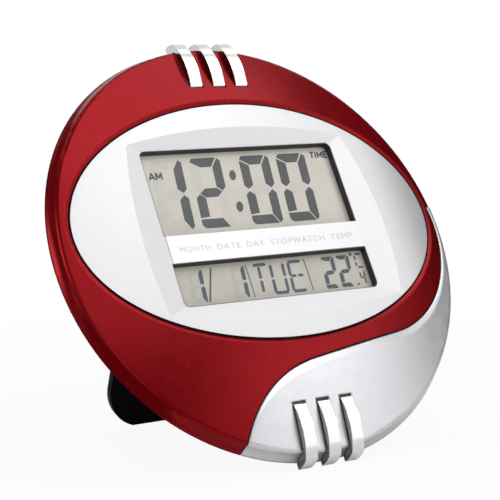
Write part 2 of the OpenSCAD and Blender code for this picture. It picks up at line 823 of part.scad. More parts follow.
// Contact plate on the right end wall of the bay, at height y and h tall
contact_w = 10;
leaf_w = 6;
leaf_rise = 4;
module contact(y, h) {
    translate([bay_l / 2 - plate_s, bay_y + y - h / 2, cell_z - contact_w / 2]) cube([plate_s, h, contact_w]);
}

// Bent leaf that presses on the flat end of a cell
module leaf_spring(y) {
    l = spring_l - seat_gap;
    translate([bay_l / 2 - plate_s, bay_y + y + leaf_w / 2, cell_z]) rotate([90, 0, 0]) linear_extrude(height = leaf_w)
        polygon([[0, leaf_rise], [-l, 1], [-l, -1], [0, -leaf_rise], [0, plate_s - leaf_rise],
            [plate_s - l, -0.7], [plate_s - l, 0.7], [0, leaf_rise - plate_s]]);
}

module contact_bridge() {
    color(steel) stood() {
        contact(0, 2 * cell_d);
        leaf_spring(-cell_pitch / 2);
    }
}

module contact_plus() { color(steel) stood() mirror([1, 0, 0]) contact(-cell_pitch / 2, contact_w); }

module contact_minus() {
    color(steel) stood() mirror([1, 0, 0]) {
        contact(cell_pitch / 2, contact_w);
        leaf_spring(cell_pitch / 2);
    }
}

// Folding stand, shown open, its foot cut level with the floor
module stand_leg() {
    color(black) difference() {
        stood() hinge(leg_open) difference() {
            union() {
                translate([0, 0, -leg_low]) linear_extrude(height = leg_t) leg_plan();
                rotate([0, 90, 0]) cylinder(h = leg_w, r = barrel_r, center = true);
                translate([-heel_w / 2, 0, -leg_low]) cube([heel_w, heel_l, leg_t]);
            }
            rotate([0, 90, 0]) cylinder(h = leg_w + 2, d = pin_d + 2 * seat_gap, center = true);
        }
        translate([-far / 2, -far / 2, -far]) cube([far, far, far]);
    }
}

module stand_pin() {
    color(steel) stood() hinge(0) rotate([0, 90, 0])
        cylinder(h = pin_l, d = pin_d - seat_gap, center = true);
}

front_shell();
cheek_panel();
face_plate();
label_strip();
display_frame();
time_glass();
date_glass();
contact_strip_upper();
contact_strip_lower();
main_board();
main_chip();
crystal();
sensor();
board_screws();
key_board();
key_switches();
key_board_screws();
buzzer();
top_fin_left();
top_fin_middle();
top_fin_right();
low_fin_left();
low_fin_middle();
low_fin_right();
rear_cover();
case_screws();
battery_door();
cell_upper();
cell_lower();
contact_bridge();
contact_plus();
contact_minus();
button_1();
button_2();
button_3();
button_4();
stand_leg();
stand_pin();
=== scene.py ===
# A round red digital clock with a silver cheek and an oval white face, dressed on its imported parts
import json
import math
import bpy
import bmesh
from mathutils import Matrix, Vector
from mathutils.bvhtree import BVHTree


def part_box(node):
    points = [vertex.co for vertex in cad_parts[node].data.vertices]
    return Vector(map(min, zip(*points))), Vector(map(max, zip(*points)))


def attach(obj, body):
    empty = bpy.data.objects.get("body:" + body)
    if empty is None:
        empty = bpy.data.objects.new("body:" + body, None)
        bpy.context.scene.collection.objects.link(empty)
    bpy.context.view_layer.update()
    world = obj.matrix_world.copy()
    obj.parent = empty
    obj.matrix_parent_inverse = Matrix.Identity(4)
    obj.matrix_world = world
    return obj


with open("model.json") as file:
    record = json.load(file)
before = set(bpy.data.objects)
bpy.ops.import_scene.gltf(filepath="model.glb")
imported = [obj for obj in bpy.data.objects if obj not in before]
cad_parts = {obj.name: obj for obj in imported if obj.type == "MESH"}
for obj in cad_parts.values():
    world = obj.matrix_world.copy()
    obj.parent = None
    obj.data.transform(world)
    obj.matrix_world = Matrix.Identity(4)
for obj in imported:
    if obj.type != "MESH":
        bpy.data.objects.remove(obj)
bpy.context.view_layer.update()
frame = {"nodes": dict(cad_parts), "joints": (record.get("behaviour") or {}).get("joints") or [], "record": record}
nodes = frame["nodes"]

# The axes of the face, and a unit of one hundredth of the window's width
MM = 0.001
UNIT = 1.08 * MM
door_axis = next(j for j in frame["joints"] if j["name"] == "door_slide")["axis"]
OUT = -Vector(door_axis)
UP = Vector((0, OUT.z, -OUT.y))
ACROSS = Vector((1, 0, 0))
REAR = Vector((0, 1, 0))


def middle(node):
    """Middle of a node's box."""
    low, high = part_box(node)
    return (low + high) / 2


LABEL_T = 0.6 * MM
WINDOW_ABOVE_LABEL = 11.2 * MM
window_mid = middle("label_strip") + UP * WINDOW_ABOVE_LABEL - OUT * LABEL_T / 2


def on_face(u, v, depth=0.0):
    """Point of the face at u across and v up in units, and depth in metres out of the window's edge."""
    return window_mid + ACROSS * (u * UNIT) + UP * (v * UNIT) + OUT * depth


def face_vector(across, up, out):
    """Vector given along the axes of the face."""
    return ACROSS * across + UP * up + OUT * out


# The clock lying flat, in millimetres: the window's middle above the case's, and the dome of the front
FACE_UP = 9.5
DOME_R, DOME_C = 505.963, -497.263


def flat(x, y, z):
    """Point of the clock lying flat, in millimetres from the middle of the case."""
    return window_mid + face_vector(x, y - FACE_UP, z) * MM


def dome(x, y, lift=0.0):
    """Height of the dome over a place, moved out by a lift."""
    return DOME_C + math.sqrt((DOME_R + lift) ** 2 - x * x - y * y)


# Building blocks of the materials

# Sockets of the mix node for colours, which has others of the same names
MIX_SHARE, MIX_FIRST, MIX_SECOND, MIX_RESULT = 0, 6, 7, 2
# The range that most values of a noise lie in
NOISE_LOW, NOISE_HIGH = 0.3, 0.7
EDGE_SAMPLES = 6


def new_material(name):
    """An empty procedural material: itself, its tree, its shader and object coordinates."""
    mat = bpy.data.materials.new(name)
    mat.use_nodes = True
    tree = mat.node_tree
    shader = tree.nodes["Principled BSDF"]
    coords = tree.nodes.new("ShaderNodeTexCoord")
    return mat, tree, shader, coords.outputs["Object"]


def noise(tree, coords, scale, detail=2.0, rough=0.5):
    """Noise texture of a given scale per metre."""
    tex = tree.nodes.new("ShaderNodeTexNoise")
    tex.inputs["Scale"].default_value = scale
    tex.inputs["Detail"].default_value = detail
    tex.inputs["Roughness"].default_value = rough
    tree.links.new(coords, tex.inputs["Vector"])
    return tex.outputs["Fac"]


def ramp(tree, value, stops):
    """Colour ramp through (place, colour) stops."""
    node = tree.nodes.new("ShaderNodeValToRGB")
    elements = node.color_ramp.elements
    while len(elements) < len(stops):
        elements.new(0.5)
    for element, (place, colour) in zip(elements, stops):
        element.position = place
        element.color = (*colour, 1.0)
    tree.links.new(value, node.inputs["Fac"])
    return node.outputs["Color"]


def fade(tree, value, start, end, low=0.0, high=1.0, smooth=False):
    """Maps a value from start to end onto low to high."""
    node = tree.nodes.new("ShaderNodeMapRange")
    if smooth:
        node.interpolation_type = "SMOOTHSTEP"
    node.inputs["From Min"].default_value = start
    node.inputs["From Max"].default_value = end
    node.inputs["To Min"].default_value = low
    node.inputs["To Max"].default_value = high
    tree.links.new(value, node.inputs["Value"])
    return node.outputs["Result"]


def around(tree, value, centre, spread):
    """Lets a noise vary about a centre."""
    return fade(tree, value, NOISE_LOW, NOISE_HIGH, centre - spread, centre + spread)


def part_along(tree, vector, axis):
    """The part of a vector along an axis."""
    node = tree.nodes.new("ShaderNodeVectorMath")
    node.operation = "DOT_PRODUCT"
    node.inputs[1].default_value = axis
    tree.links.new(vector, node.inputs[0])
    return node.outputs["Value"]


def calculate(tree, operation, *values):
    """Result of an operation on one value or two."""
    node = tree.nodes.new("ShaderNodeMath")
    node.operation = operation
    for value, socket in zip(values, node.inputs):
        tree.links.new(value, socket)
    return node.outputs["Value"]


def bump(tree, shader, value, strength, distance, edge=0.0):
    """Bump from a value, over edges softened by a radius."""
    node = tree.nodes.new("ShaderNodeBump")
    node.inputs["Strength"].default_value = strength
    node.inputs["Distance"].default_value = distance
    tree.links.new(value, node.inputs["Height"])
    if edge:
        soft = tree.nodes.new("ShaderNodeBevel")
        soft.samples = EDGE_SAMPLES
        soft.inputs["Radius"].default_value = edge
        tree.links.new(soft.outputs["Normal"], node.inputs["Normal"])
    tree.links.new(node.outputs["Normal"], shader.inputs["Normal"])


def cover(tree, shader, colour, rough):
    """Gives a shader its colour and its roughness."""
    tree.links.new(colour, shader.inputs["Base Color"])
    tree.links.new(rough, shader.inputs["Roughness"])


# Kinds of finish: scales of noise per metre, spreads of roughness, and bumps
PAINT_CLOUDS, PAINT_PEEL, PLASTIC_CLOUDS = 220, 650, 90
PAINT_SPREAD, PLASTIC_SPREAD, METAL_SPREAD = 0.03, 0.06, 0.2
PEEL_DEPTH, GRAIN_DEPTH = 0.2 * MM, 0.1 * MM
METAL_BUMP = 0.01


def paint(name, dark, light, metallic, rough, flake, specular=0.5, edge=0.0, peel=0.015):
    """Paint whose flakes vary between two colours, with a slight orange peel."""
    mat, tree, shader, coords = new_material(name)
    flakes = noise(tree, coords, flake, detail=3.0, rough=0.65)
    colour = ramp(tree, flakes, [(0.36, dark), (0.64, light)])
    cover(tree, shader, colour, around(tree, noise(tree, coords, PAINT_CLOUDS), rough, PAINT_SPREAD))
    shader.inputs["Metallic"].default_value = metallic
    shader.inputs["Specular IOR Level"].default_value = specular
    bump(tree, shader, noise(tree, coords, PAINT_PEEL), peel, PEEL_DEPTH, edge)
    return mat


def plastic(name, dark, light, rough, grain, depth, edge=0.0, specular=0.5):
    """Moulded plastic or rubber with a fine spark-eroded grain."""
    mat, tree, shader, coords = new_material(name)
    colour = ramp(tree, noise(tree, coords, PLASTIC_CLOUDS), [(0.35, dark), (0.65, light)])
    grains = noise(tree, coords, grain, detail=4.0, rough=0.6)
    cover(tree, shader, colour, around(tree, grains, rough, PLASTIC_SPREAD))
    shader.inputs["Specular IOR Level"].default_value = specular
    bump(tree, shader, grains, depth, GRAIN_DEPTH, edge)
    return mat


def metal(name, dark, light, rough, scale, edge=0.0):
    """Plated or brushed metal with faint clouding."""
    mat, tree, shader, coords = new_material(name)
    clouds = noise(tree, coords, scale, detail=4.0, rough=0.6)
    colour = ramp(tree, clouds, [(0.3, dark), (0.7, light)])
    cover(tree, shader, colour, around(tree, clouds, rough, rough * METAL_SPREAD))
    shader.inputs["Metallic"].default_value = 1.0
    bump(tree, shader, clouds, METAL_BUMP, GRAIN_DEPTH, edge)
    return mat


# Painted shade on faces that look sideways and painted light on faces that look back: how much a face looks
# sideways or back where it starts and is full
SIDE_START, SIDE_FULL = 0.7, 0.95
BACK_START, BACK_FULL = 0.2, 0.5
REACH_EDGE = 1.5 * MM


def base_colour(mat):
    """Tree and shader of a finish, and the socket that its colour comes from."""
    tree = mat.node_tree
    shader = tree.nodes["Principled BSDF"]
    return tree, shader, shader.inputs["Base Color"].links[0].from_socket


def scale_colour(mat, factor):
    """Multiplies the colour of a finish by a value."""
    tree, shader, old = base_colour(mat)
    node = tree.nodes.new("ShaderNodeVectorMath")
    node.operation = "SCALE"
    tree.links.new(old, node.inputs[0])
    tree.links.new(factor, node.inputs["Scale"])
    tree.links.new(node.outputs["Vector"], shader.inputs["Base Color"])


def mix_colour(mat, share, colour):
    """Mixes a share of another colour into the colour of a finish."""
    tree, shader, old = base_colour(mat)
    node = tree.nodes.new("ShaderNodeMix")
    node.data_type = "RGBA"
    node.inputs[MIX_SECOND].default_value = (*colour, 1)
    tree.links.new(share, node.inputs[MIX_SHARE])
    tree.links.new(old, node.inputs[MIX_FIRST])
    tree.links.new(node.outputs[MIX_RESULT], shader.inputs["Base Color"])


def paint_shade_at_right(mat, start, end, factor):
    """Paints shade into a paint: its colour grows darker along x, between two places on the right."""
    tree = mat.node_tree
    coords = tree.nodes.new("ShaderNodeTexCoord")
    x = part_along(tree, coords.outputs["Object"], ACROSS)
    scale_colour(mat, fade(tree, x, start, end, 1.0, factor, smooth=True))


def paint_shade_on_sides(mat, factor, reach):
    """Paints shade on the faces of a finish that look sideways, up to a reach along the face in metres."""
    tree = mat.node_tree
    shape = tree.nodes.new("ShaderNodeNewGeometry")
    sideways = calculate(tree, "ABSOLUTE", part_along(tree, shape.outputs["True Normal"], ACROSS))
    painted_shade = fade(tree, sideways, SIDE_START, SIDE_FULL, 1.0, factor)
    end = window_mid.dot(UP) + reach
    past = fade(tree, part_along(tree, shape.outputs["Position"], UP), end, end + REACH_EDGE)
    scale_colour(mat, calculate(tree, "MAXIMUM", painted_shade, past))


def paint_light_on_back(mat, colour, specular):
    """Paints light on the faces of a finish that look to the rear: a lighter grey, and a higher specular level."""
    tree = mat.node_tree
    shape = tree.nodes.new("ShaderNodeNewGeometry")
    behind = fade(tree, part_along(tree, shape.outputs["Normal"], REAR), BACK_START, BACK_FULL)
    mix_colour(mat, behind, colour)
    level = tree.nodes["Principled BSDF"].inputs["Specular IOR Level"]
    tree.links.new(fade(tree, behind, 0.0, 1.0, level.default_value, specular), level)


def cell_band(mat, start, end, colour):
    """Colours one end of a cell, from a place along x to another."""
    tree = mat.node_tree
    shape = tree.nodes.new("ShaderNodeNewGeometry")
    x = part_along(tree, shape.outputs["Position"], ACROSS)
    mix_colour(mat, fade(tree, x, start, end), colour)


# Finishes of the case
RED = paint("red_lacquer", (0.245, 0.001, 0.004), (0.275, 0.0015, 0.0054), metallic=0.5, rough=0.25,
            flake=5200, specular=0.18, edge=1.2 * MM, peel=0.002)
# Painted shade: the red grows darker towards its right end.
paint_shade_at_right(RED, start=0.07, end=0.105, factor=0.62)
SILVER = paint("silver_paint", (0.69, 0.69, 0.715), (0.77, 0.77, 0.795), metallic=0.92, rough=0.36,
               flake=4200, specular=0.3, edge=1.2 * MM)
WHITE = paint("pearl_white", (0.905, 0.905, 0.925), (0.955, 0.955, 0.97), metallic=0.26, rough=0.5,
              flake=4200, specular=0.3, edge=0.25 * MM)
# Painted shade: the white face grows darker towards its right end.
paint_shade_at_right(WHITE, start=0.066, end=0.1, factor=0.5)
LABEL = paint("label_white", (0.90, 0.90, 0.92), (0.95, 0.95, 0.965), metallic=0.45, rough=0.44,
              flake=3000, specular=0.3)
CHROME = metal("plated_trim", (0.84, 0.84, 0.85), (0.90, 0.90, 0.91), rough=0.16, scale=500, edge=0.3 * MM)
# Painted shade: the fins' side walls are darkened to half, up to 91 mm above the window's middle.
paint_shade_on_sides(CHROME, factor=0.5, reach=91 * MM)
# Painted shade: a darker copy of the plated trim for the low fins, with all their side walls darkened further.
LOW_CHROME_PAINTED_SHADE = metal("low_plated_trim_painted_shade", (0.80, 0.80, 0.81), (0.86, 0.86, 0.87), rough=0.18, scale=500,
                   edge=0.3 * MM)
paint_shade_on_sides(LOW_CHROME_PAINTED_SHADE, factor=0.35, reach=0.0)
FRAME_BLACK = plastic("frame_black", (0.016, 0.015, 0.016), (0.024, 0.022, 0.023), rough=0.5, grain=2500,
                      depth=0.08)
REAR_BLACK = plastic("rear_black", (0.016, 0.016, 0.017), (0.024, 0.024, 0.025), rough=0.55, grain=2600,
                     depth=0.25, edge=0.4 * MM)
STAND_BLACK = plastic("stand_black", (0.0016, 0.0014, 0.0015), (0.0026, 0.0023, 0.0024), rough=0.36,
                      grain=2200, depth=0.06, edge=0.5 * MM, specular=0.07)
# Painted light: the stand's faces that look to the rear are lighter grey and shinier than its front.
paint_light_on_back(STAND_BLACK, (0.02, 0.02, 0.021), specular=0.4)
BUTTON_GREY = plastic("button_grey", (0.10, 0.10, 0.105), (0.15, 0.15, 0.155), rough=0.6, grain=2400,
                      depth=0.15, edge=0.5 * MM)

# Finishes of what is inside
STEEL = metal("plain_steel", (0.50, 0.50, 0.51), (0.64, 0.64, 0.65), rough=0.28, scale=900)
STRIP_GREY = plastic("strip_grey", (0.05, 0.05, 0.052), (0.08, 0.08, 0.082), rough=0.7, grain=3000,
                     depth=0.2)
BOARD_GREEN = plastic("board_green", (0.010, 0.09, 0.035), (0.018, 0.14, 0.055), rough=0.35, grain=1500,
                      depth=0.1)
CHIP_BLACK = plastic("chip_black", (0.008, 0.008, 0.008), (0.014, 0.014, 0.014), rough=0.4, grain=2500,
                     depth=0.1)
COPPER = (0.42, 0.2, 0.075)
BAND_PLACE, BAND_EDGE = 9 * MM, 0.3 * MM
cells = {}
for cell, plus in (("cell_upper", 1), ("cell_lower", -1)):
    jacket = plastic(cell + "_jacket", (0.012, 0.012, 0.013), (0.018, 0.018, 0.019), rough=0.3, grain=1800,
                     depth=0.05)
    band = middle(cell).x + plus * BAND_PLACE
    cell_band(jacket, band, band + plus * BAND_EDGE, COPPER)
    cells[cell] = jacket

# Finishes of the display, the prints, and the painted shadows in seams and grooves
GLASS = {"rough": 0.3, "grain": 1200, "depth": 0.01, "specular": 0.3}
INK = {"rough": 0.35, "grain": 1800, "depth": 0.01, "specular": 0.3}
PRINTED = {"rough": 0.5, "grain": 1500, "depth": 0.02}
SHADOW = {"rough": 0.7, "grain": 2000, "depth": 0.02, "specular": 0.05}
LCD = plastic("lcd_panel", (0.72, 0.685, 0.61), (0.76, 0.72, 0.65), **GLASS)
LOW_LCD = plastic("low_lcd_panel", (0.63, 0.60, 0.53), (0.67, 0.635, 0.57), **GLASS)
GHOST = plastic("lcd_ghost", (0.675, 0.65, 0.585), (0.705, 0.68, 0.62), **GLASS)
LOW_GHOST = plastic("low_lcd_ghost", (0.57, 0.56, 0.495), (0.60, 0.585, 0.525), **GLASS)
SEGMENT = plastic("lcd_segment", (0.108, 0.112, 0.116), (0.125, 0.130, 0.134), **INK)
SMALL_SEGMENT = plastic("lcd_small_segment", (0.092, 0.128, 0.150), (0.115, 0.158, 0.182), **INK)
PRINT = plastic("label_print", (0.66, 0.66, 0.68), (0.72, 0.72, 0.74), **PRINTED)
REAR_PRINT = plastic("rear_print", (0.30, 0.30, 0.31), (0.36, 0.36, 0.37), **PRINTED)
# Painted shadow: near-black for the gaps by the face plate and cheek and the top fins' grooves, dark grey for the
# low fins' grooves.
SEAM_SHADE = plastic("seam_shadow", (0.004, 0.003, 0.003), (0.008, 0.006, 0.006), **SHADOW)
GROOVE_SHADE = plastic("groove_shadow", (0.07, 0.068, 0.066), (0.10, 0.097, 0.095), **SHADOW)

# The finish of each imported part, its own or that of its slot
FINISH = {
    "red_shell": RED, "silver_panel": SILVER, "white_face": WHITE, "chrome_trim": CHROME,
    "black_frame": FRAME_BLACK, "lcd_glass": LCD, "rear_plastic": REAR_BLACK, "stand_plastic": STAND_BLACK,
    "button_rubber": BUTTON_GREY, "strip_rubber": STRIP_GREY, "circuit_board": BOARD_GREEN,
    "chip_black": CHIP_BLACK, "steel": STEEL, "cell_jacket": cells["cell_upper"],
}
OWN = {"label_strip": LABEL, "date_glass": LOW_LCD, **cells}
OWN.update({"low_fin_" + place: LOW_CHROME_PAINTED_SHADE for place in ("left", "middle", "right")})
for part in frame["record"]["subparts"]:
    node = nodes[part["node"]]
    finish = OWN.get(part["node"], FINISH[part["material_slot"]])
    node.data.materials.clear()
    node.data.materials.append(finish)


# New pieces


def put_on_case(name, mesh, mat):
    """Makes a piece of a mesh, which rides on the case."""
    mesh.materials.clear()
    mesh.materials.append(mat)
    piece = bpy.data.objects.new(name, mesh)
    bpy.context.scene.collection.objects.link(piece)
    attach(piece, "case")


def new_piece(name, bm, mat, smooth=False):
    """Makes a piece of points and faces, which rides on the case."""
    bmesh.ops.recalc_face_normals(bm, faces=bm.faces)
    mesh = bpy.data.meshes.new(name)
    bm.to_mesh(mesh)
    bm.free()
    for face in mesh.polygons:
        face.use_smooth = smooth
    put_on_case(name, mesh, mat)


def skin(bm, rows):
    """Faces between rows of points."""
    for a, b in zip(rows, rows[1:]):
        for i in range(len(a) - 1):
            bm.faces.new((a[i], a[i + 1], b[i + 1], b[i]))


# Characters on the display
GLASS_DEPTH = 3.9 * MM
PLATE_T = 0.03 * MM
FILM_T = 0.012 * MM


def rounded(outline, steps=6):
    """Outline of (x, y) or (x, y, radius) corners, with the corners that have a radius rounded."""
    corners = [Vector(c[:2]) for c in outline]
    points = []
    for i, corner in enumerate(corners):
        radius = outline[i][2] if len(outline[i]) > 2 else 0
        if not radius:
            points.append(corner)
            continue
        back = (corners[i - 1] - corner).normalized()
        ahead = (corners[(i + 1) % len(corners)] - corner).normalized()
        half = back.angle(ahead) / 2
        reach = radius / math.tan(half)
        start, end = corner + back * reach, corner + ahead * reach
        centre = corner + (back + ahead).normalized() * (radius / math.sin(half))
        for k in range(steps + 1):
            spoke = start.lerp(end, k / steps) - centre
            points.append(centre + spoke.normalized() * radius)
    return points


def plates(name, outlines, mat, thick=PLATE_T):
    """Thin plates on the glass, one for each outline in units."""
    bm = bmesh.new()
    for outline in outlines:
        base = [bm.verts.new(on_face(p[0], p[1], -GLASS_DEPTH)) for p in outline]
        top = [bm.verts.new(on_face(p[0], p[1], thick - GLASS_DEPTH)) for p in outline]
        bm.faces.new(top)
        bm.faces.new(base[::-1])
        for i in range(len(base)):
            j = (i + 1) % len(base)
            bm.faces.new((base[i], base[j], top[j], top[i]))
    new_piece(name, bm, mat)


# One digit of the upper display, upright, from its lower left corner, in units
DIGIT_H = 33.7
SLANT = 0.089
SEGMENTS = {
    "a": [(0.35, 32.0, 0.3), (1.6, 33.7, 0.8), (13.7, 33.7, 0.3), (10.8, 29.2), (5.2, 29.2)],
    "b": [(14.3, 33.3, 0.3), (15.85, 32.2, 1.2), (15.85, 19.3, 0.8), (14.0, 17.4), (11.3, 19.4),
          (11.3, 28.8)],
    "c": [(14.0, 16.5), (15.85, 14.7, 0.8), (15.85, 1.4, 1.2), (14.3, 0.1, 0.3), (11.35, 4.7),
          (11.35, 14.2)],
    "d": [(13.9, 0.0), (10.9, 4.4), (0.0, 4.4), (0.0, 0.0, 2.6)],
    "e": [(2.0, 16.3), (4.65, 14.4), (4.65, 5.4), (0.0, 5.0), (0.0, 14.6, 0.8)],
    "f": [(0.0, 31.5, 0.3), (4.65, 28.9), (4.65, 19.3), (2.0, 17.3), (0.0, 19.2, 0.8)],
    "g": [(2.3, 16.6), (5.1, 18.9), (11.1, 18.9), (13.6, 17.0), (10.9, 14.6), (4.8, 14.6)],
}
SHOWN = {"0": "abcdef", "1": "bc", "2": "abged", "4": "fgbc"}


def placed(outline, x, y, scale=1.0):
    """A slanted copy of an outline, its lower left corner at x, y."""
    return [(x + (p[0] + p[1] * SLANT) * scale, y + p[1] * scale) for p in outline]


def digits(text, places, y, scale, lit=True):
    """Outlines of the segments of a row of digits that are lit, or of those that are not."""
    outlines = []
    for character, x in zip(text, places):
        for key, outline in SEGMENTS.items():
            if (key in SHOWN[character]) == lit:
                outlines.append(placed(rounded(outline), x, y, scale))
    return outlines


def dot(x, y, half_w, half_h, count=24):
    """Slanted oval dot."""
    turns = [2 * math.pi * k / count for k in range(count)]
    lean = half_h * SLANT * 2
    return [(x + half_w * math.cos(a) + lean * math.sin(a), y + half_h * math.sin(a)) for a in turns]


def bar(x0, y0, x1, y1, wide, tip=0.0):
    """Straight bar between two points, with ends that taper over a length."""
    a, b = Vector((x0, y0)), Vector((x1, y1))
    way = (b - a).normalized()
    side = Vector((-way.y, way.x)) * wide / 2
    if not tip:
        return [a - side, b - side, b + side, a + side]
    near, far = a + way * tip, b - way * tip
    return [a, near - side, far - side, b, far + side, near + side]


# The upper display: the time
TIME_TEXT = "1200"
TIME_X, TIME_Y = [-47.6, -27.7, -1.85, 18.1], -0.1
TIME_SCALE = 1.012
COLON, COLON_W, COLON_H = ((-4.5, 24.7), (-6.0, 9.15)), 1.75, 2.55
plates("time_digits", digits(TIME_TEXT, TIME_X, TIME_Y, TIME_SCALE), SEGMENT)
plates("time_ghosts", digits(TIME_TEXT, TIME_X, TIME_Y, TIME_SCALE, lit=False), GHOST, FILM_T)
plates("time_colon", [dot(x, y, COLON_W, COLON_H) for x, y in COLON], SEGMENT)

# The lower display: the date with its slash, the temperature with its point and tenths, and two rules
LOW_Y, LOW_H = -33.95, 15.4
LOW_SCALE = LOW_H / DIGIT_H
DATE_TEXT, DATE_X = "11", [-43.6, -22.4]
SLASH_LOW, SLASH_HIGH, SLASH_W = -35.5, -30.3, 0.85
TEMP_TEXT, TEMP_X = "22", [25.35, 33.65]
POINT_X, POINT_Y, POINT_R = 42.9, -33.1, 0.6
TENTH_TEXT, TENTH_X, TENTH_Y, TENTH_SCALE = "4", [44.6], -33.4, 0.19
RULE_X, RULE_W = (-12.8, 17.9), 0.55
date_lit = digits(DATE_TEXT, DATE_X, LOW_Y, LOW_SCALE)
date_lit.append(bar(SLASH_LOW, LOW_Y, SLASH_HIGH, LOW_Y + LOW_H, SLASH_W))
plates("date_digits", date_lit, SMALL_SEGMENT)
plates("date_ghosts", digits(DATE_TEXT, DATE_X, LOW_Y, LOW_SCALE, lit=False), LOW_GHOST, FILM_T)
temp_lit = digits(TEMP_TEXT, TEMP_X, LOW_Y, LOW_SCALE)
temp_lit.append(dot(POINT_X, POINT_Y, POINT_R, POINT_R))
temp_lit += digits(TENTH_TEXT, TENTH_X, TENTH_Y, TENTH_SCALE)
plates("temperature_digits", temp_lit, SMALL_SEGMENT)
rules = [bar(x, LOW_Y, x, LOW_Y + LOW_H, RULE_W) for x in RULE_X]
plates("date_rules", rules, SMALL_SEGMENT, FILM_T)

# Weekday letters of bars, from the lower left corner of each letter, and two short dashes in the last
LETTER_X, LETTER_W = (-11.2, -2.4, 7.0), 7.2
BAR_W, BAR_TIP, BAR_GAP = 1.5, 0.55, 0.3
EDGE, MID, TOP = BAR_W / 2, LOW_H / 2, LOW_H - BAR_W / 2
UPPER, LOWER = (MID + BAR_GAP, TOP - BAR_GAP), (0.9, MID - BAR_GAP)
LEVEL_START, LEVEL_END = 0.6, LETTER_W + 0.3
STEM_X, STEM_TOP, STEM_FOOT = LETTER_W / 2 - 0.2, UPPER[1] - 0.5, 1.8
DASH_X, DASH_Y, DASH_W, DASH_H = (10.1, 13.8), -26.0, 1.5, 0.75


def letter_bars(strokes, x):
    """Slanted bars of one letter; a stroke runs from one point to another."""
    return [placed(bar(*stroke, BAR_W, BAR_TIP), x, LOW_Y) for stroke in strokes]


left_bars = [(EDGE, low, EDGE, high) for low, high in (UPPER, LOWER)]
right_bars = [(LETTER_W, low, LETTER_W, high) for low, high in (UPPER, LOWER)]
top_bar = [(LEVEL_START, TOP, LEVEL_END, TOP)]
low_bar = [(LEVEL_START, EDGE, LEVEL_END, EDGE)]
stem = [(STEM_X, UPPER[0], STEM_X, STEM_TOP), (STEM_X, STEM_FOOT, STEM_X, LOWER[1])]
weekday = letter_bars(top_bar + stem, LETTER_X[0])
weekday += letter_bars(left_bars + right_bars + low_bar, LETTER_X[1])
weekday += letter_bars(left_bars + top_bar + low_bar, LETTER_X[2])
weekday += [dot(x, DASH_Y, DASH_W, DASH_H) for x in DASH_X]
plates("weekday_letters", weekday, SMALL_SEGMENT)

# Small degree sign and letter after the temperature
DEGREE_X, DEGREE_Y, DEGREE_R = 43.6, -18.5, 0.85
SMALL_W, SMALL_TIP = 0.95, 0.35
SMALL_C = [(45.9, -18.7, 48.9, -18.7), (45.5, -19.2, 45.3, -21.7), (45.25, -22.3, 45.05, -24.6),
           (45.5, -25.1, 48.5, -25.1)]
unit_marks = [bar(*stroke, SMALL_W, SMALL_TIP) for stroke in SMALL_C]
unit_marks.append(dot(DEGREE_X, DEGREE_Y, DEGREE_R, DEGREE_R))
plates("temperature_unit", unit_marks, SMALL_SEGMENT)

# Small marks of the upper display, of straight strokes in a box one wide and one high
MARK_W = 0.8
STROKES = {
    "A": [(0, 0, 0.5, 1), (0.5, 1, 1, 0), (0.2, 0.32, 0.8, 0.32)],
    "M": [(0, 0, 0, 1), (0, 1, 0.5, 0.25), (0.5, 0.25, 1, 1), (1, 1, 1, 0)],
    "T": [(0, 1, 1, 1), (0.5, 1, 0.5, 0)],
    "I": [(0.5, 0, 0.5, 1)],
    "E": [(0, 0, 0, 1), (0, 0, 1, 0), (0, 0.52, 0.85, 0.52), (0, 1, 1, 1)],
}


def mark(name, letters, y, high, lean):
    """Small mark of letters given with their left ends and widths."""
    strokes = []
    for letter, x, width in letters:
        for x0, y0, x1, y1 in STROKES[letter]:
            start = (x + x0 * width + y0 * high * lean, y + y0 * high)
            end = (x + x1 * width + y1 * high * lean, y + y1 * high)
            strokes.append(bar(*start, *end, MARK_W))
    plates(name, strokes, SEGMENT)


morning_letters = [("A", -46.6, 2.7), ("M", -43.1, 2.7)]
mark("morning_mark", morning_letters, y=24.6, high=3.4, lean=0.04)
time_letters = [("T", 39.9, 2.3), ("I", 42.5, 1.0), ("M", 44.2, 2.4), ("E", 47.7, 2.0)]
mark("time_mark", time_letters, y=31.0, high=3.0, lean=0.15)

# Plain words on the label, each with its left end and its width in units
CAPITAL_SHARE, LETTER_SPACING, HALF_T = 0.72, 1.15, 0.5
LABEL_WORDS = [("MONTH", -45.0, 15.2), ("DATE", -26.6, 11.9), ("DAY", -11.4, 9.0), ("STOPWATCH", 1.2, 28.5),
               ("TEMP", 33.0, 12.2)]
LABEL_Y, LABEL_H = -12.15, 2.8


def lettering(name, text, high, wide, start, side, mat):
    """Raised flat words from their lower left end, high and wide in units; side is -1 on the back."""
    curve = bpy.data.curves.new(name, "FONT")
    curve.body = text
    curve.size = high / CAPITAL_SHARE
    curve.space_character = LETTER_SPACING
    curve.extrude = HALF_T
    holder = bpy.data.objects.new(name + "_curve", curve)
    bpy.context.scene.collection.objects.link(holder)
    graph = bpy.context.evaluated_depsgraph_get()
    mesh = bpy.data.meshes.new_from_object(holder.evaluated_get(graph))
    bpy.data.objects.remove(holder)
    mesh.name = name
    left = min(vert.co.x for vert in mesh.vertices)
    stretch = wide / (max(vert.co.x for vert in mesh.vertices) - left)
    for vert in mesh.vertices:
        u, v = (vert.co.x - left) * stretch, vert.co.y
        lift = (vert.co.z + HALF_T) * PLATE_T
        vert.co = start + ACROSS * (u * side * UNIT) + UP * (v * UNIT) + OUT * (lift * side)
    put_on_case(name, mesh, mat)


for word, x, wide in LABEL_WORDS:
    start = on_face(x, LABEL_Y, LABEL_T)
    lettering("label_" + word.lower(), word, LABEL_H, wide, start, 1, PRINT)

# Painted shadow: a dark bead in the gap round the face plate, in millimetres
OVAL_A, OVAL_B = 98.5, 61.6
GAP_SHADOW_OUT, GAP_SHADOW_SUNK, GAP_SHADOW_R, GAP_SHADOW_STEPS = 0.15, 0.6, 0.36, 240


